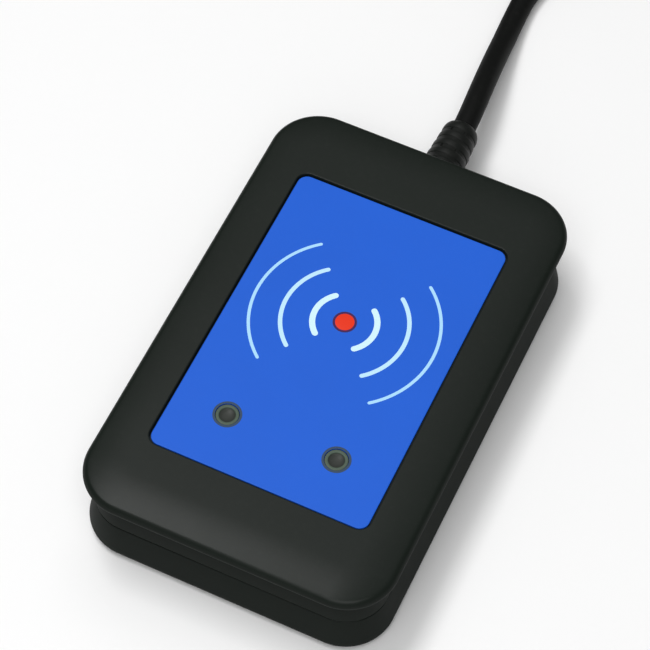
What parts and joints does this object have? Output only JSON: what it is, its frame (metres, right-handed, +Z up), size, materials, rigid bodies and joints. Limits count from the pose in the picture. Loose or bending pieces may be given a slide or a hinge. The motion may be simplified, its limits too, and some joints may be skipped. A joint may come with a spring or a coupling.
{
  "type": "rfid card reader",
  "caption": "Flat desktop contactless card reader: two-part waisted housing, recessed blue front label with indicator windows, antennas inside, and a coiled USB lead.",
  "frame": {"origin": "on the table, under the middle of the housing (the USB lead and its strain relief are left out of this middle)", "axes": "+Z up out of the reading face, +Y along the housing towards the cable, +X to the right"},
  "size_m": [0.0875, 0.2175, 0.018],
  "materials": {
    "housing_plastic": "fine texture",
    "label_film": "satin printed film",
    "rating_label_film": "blank satin film",
    "clear_acrylic": "polished",
    "foot_rubber": "matt",
    "strain_relief_rubber": "satin",
    "cable_jacket": "satin",
    "plug_plastic": "fine texture",
    "tie_band": "ribbed",
    "screw_steel": "zinc plated",
    "plated_shell": "nickel plated",
    "tongue_white": "satin",
    "gold_contact": "gold plated",
    "board_green": "solder mask",
    "enamelled_copper": "enamelled wire",
    "chip_black": "moulded",
    "socket_ivory": "moulded",
    "led_green": "clear",
    "led_red": "clear",
    "wire_red": "insulation",
    "wire_white": "insulation",
    "wire_green": "insulation",
    "wire_black": "insulation"
  },
  "bodies": {
    "root": {"board_screw_front_left": "screw_steel", "board_screw_front_right": "screw_steel", "board_screw_rear_left": "screw_steel", "board_screw_rear_right": "screw_steel", "bottom_cover": "housing_plastic", "buzzer": "chip_black", "cable_coil": "cable_jacket", "cable_connector": "socket_ivory", "cable_socket": "socket_ivory", "cable_tie": "tie_band", "case_screw_front_left": "screw_steel", "case_screw_front_right": "screw_steel", "case_screw_rear_left": "screw_steel", "case_screw_rear_right": "screw_steel", "circuit_board": "board_green", "crystal": "plated_shell", "foot_front_left": "foot_rubber", "foot_front_right": "foot_rubber", "foot_rear_left": "foot_rubber", "foot_rear_right": "foot_rubber", "front_label": "label_film", "high_frequency_antenna_loop": "enamelled_copper", "led_green": "led_green", "led_red": "led_red", "light_pipe_left": "clear_acrylic", "light_pipe_right": "clear_acrylic", "low_frequency_antenna_coil": "enamelled_copper", "microcontroller": "chip_black", "plug_contact_1": "gold_contact", "plug_contact_2": "gold_contact", "plug_contact_3": "gold_contact", "plug_contact_4": "gold_contact", "plug_overmould": "plug_plastic", "plug_shell": "plated_shell", "plug_tongue": "tongue_white", "radio_chip": "chip_black", "rating_label": "rating_label_film", "strain_relief": "strain_relief_rubber", "supply_capacitor": "plated_shell", "top_cover": "housing_plastic", "tuning_capacitor": "socket_ivory", "usb_cable": "cable_jacket", "voltage_regulator": "chip_black", "wire_black": "wire_black", "wire_green": "wire_green", "wire_red": "wire_red", "wire_white": "wire_white"}
  },
  "joints": []
}
